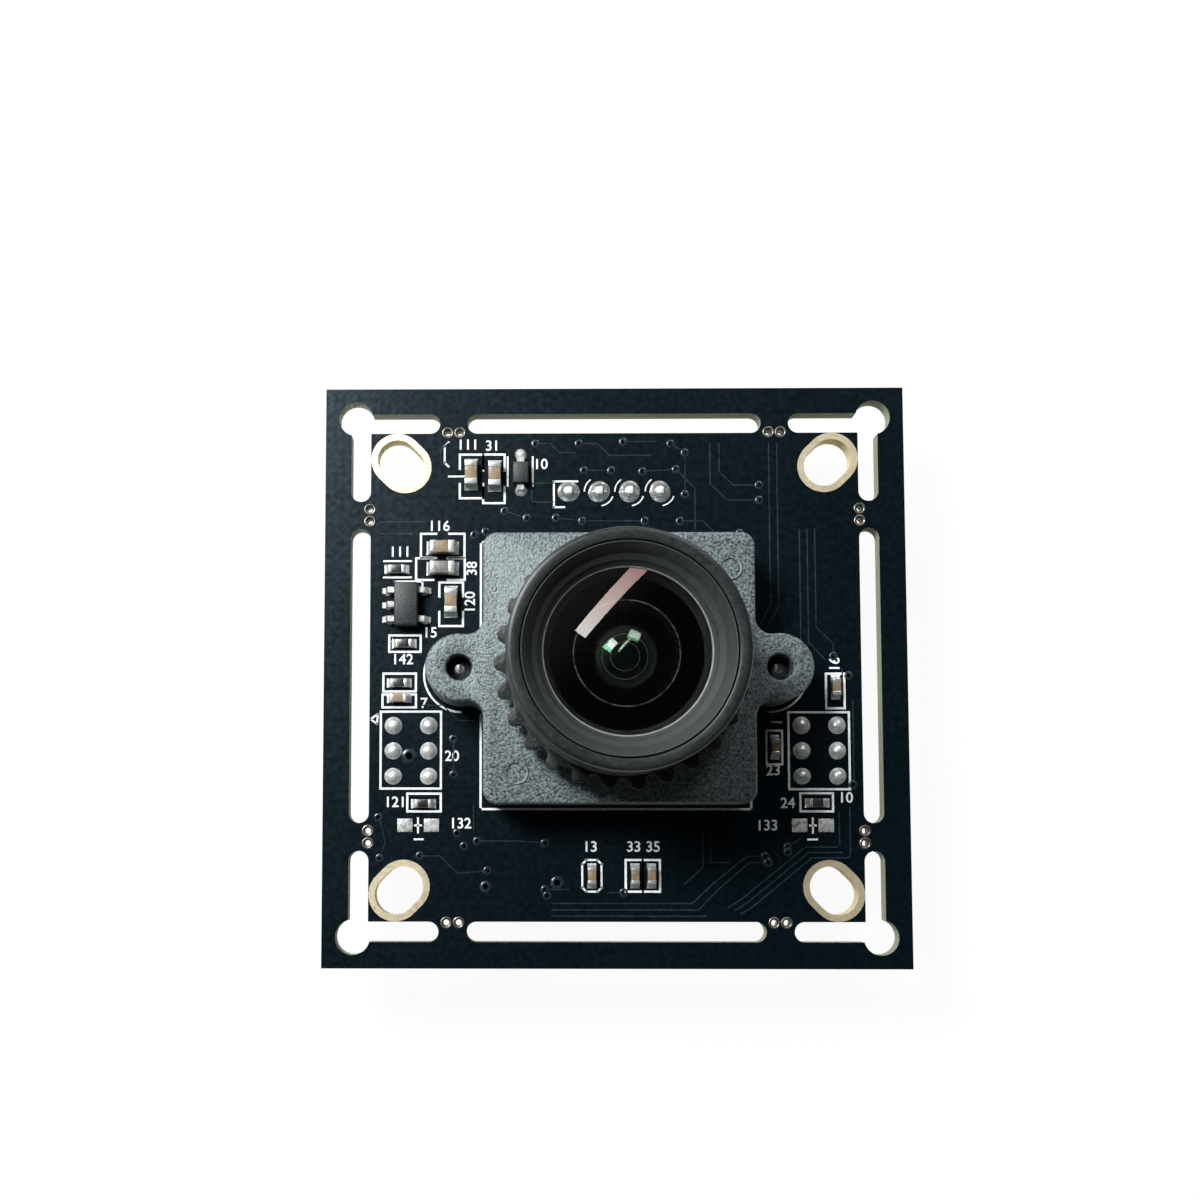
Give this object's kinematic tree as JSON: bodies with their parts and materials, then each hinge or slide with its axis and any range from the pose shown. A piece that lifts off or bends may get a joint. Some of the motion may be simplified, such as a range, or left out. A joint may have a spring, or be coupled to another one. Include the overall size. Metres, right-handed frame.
{
  "type": "board camera module",
  "caption": "Square camera board with a screw-focus lens in a moulded holder, a scalloped lock ring and a wire socket behind.",
  "frame": {"origin": "centre of the board, between its four mounting holes, on its back face", "axes": "+Z out of the front of the board along the lens axis, +X and +Y along the board's sides; the wire socket is at the +Y side of the back face"},
  "size_m": [0.038, 0.038, 0.0203],
  "materials": {
    "board": "satin solder mask over woven glass laminate",
    "gold_plate": "satin gold plating",
    "holder_plastic": "fine-grained moulding",
    "screw_steel": "plated steel",
    "lens_black": "black anodised, satin",
    "hood_black": "black anodised, matte",
    "coated_glass": "anti-reflection coated",
    "spacer_black": "matte",
    "ring_black": "satin",
    "filter_glass": "coated filter glass",
    "sensor_package": "satin",
    "socket_nylon": "natural nylon",
    "tin_plate": "bright tin",
    "solder": "reflowed solder",
    "moulding": "moulded epoxy",
    "bead_ceramic": "fired ceramic",
    "can_metal": "drawn metal can",
    "ferrite": "ground ferrite",
    "tan_ceramic": "fired ceramic with plated ends",
    "resistor_film": "glazed film on ceramic"
  },
  "bodies": {
    "board": {"circuit_board": "board", "mounting_pads": "gold_plate", "lens_holder": "holder_plastic", "holder_screws": "screw_steel", "infrared_filter": "filter_glass", "image_sensor": "sensor_package", "sensor_window": "filter_glass", "socket_housing": "socket_nylon", "socket_pins": "tin_plate", "socket_solder": "solder", "regulator_body": "moulding", "regulator_legs": "tin_plate", "diode_body": "moulding", "diode_legs": "tin_plate", "ferrite_bead": "bead_ceramic", "solder_bumps_left": "solder", "solder_bumps_right": "solder", "led_pads": "tin_plate", "processor_body": "moulding", "processor_lands": "tin_plate", "memory_body": "moulding", "memory_legs": "tin_plate", "crystal_base": "bead_ceramic", "crystal_can": "can_metal", "choke": "ferrite", "big_capacitor_1": "tan_ceramic", "big_capacitor_2": "tan_ceramic", "big_capacitor_3": "tan_ceramic", "big_capacitor_4": "tan_ceramic", "small_capacitor_1": "tan_ceramic", "small_capacitor_2": "tan_ceramic", "small_capacitor_3": "tan_ceramic", "small_capacitor_4": "tan_ceramic", "small_capacitor_5": "tan_ceramic", "small_capacitor_6": "tan_ceramic", "small_resistor_1": "resistor_film", "small_resistor_2": "resistor_film", "small_resistor_3": "resistor_film", "small_resistor_4": "resistor_film", "small_resistor_5": "resistor_film", "back_capacitor_1": "tan_ceramic", "back_capacitor_2": "tan_ceramic", "back_capacitor_3": "tan_ceramic", "back_capacitor_4": "tan_ceramic"},
    "lens": {"lens_barrel": "lens_black", "lens_hood": "hood_black", "front_glass": "coated_glass", "lens_spacer": "spacer_black", "second_glass": "coated_glass", "aperture_stop": "spacer_black", "third_glass": "coated_glass", "rear_glass": "coated_glass", "rear_nut": "spacer_black"},
    "ring": {"lock_ring": "ring_black"}
  },
  "joints": [
    {"name": "lens_focus", "type": "hinge", "parent": "board", "child": "lens", "pos_m": [0, 0, 0.0075], "axis": [0, 0, 1], "range_deg": [-180, 180]},
    {"name": "lock_ring_turn", "type": "hinge", "parent": "lens", "child": "ring", "pos_m": [0, 0, 0.0075], "axis": [0, 0, 1], "range_deg": [0, 180]}
  ]
}
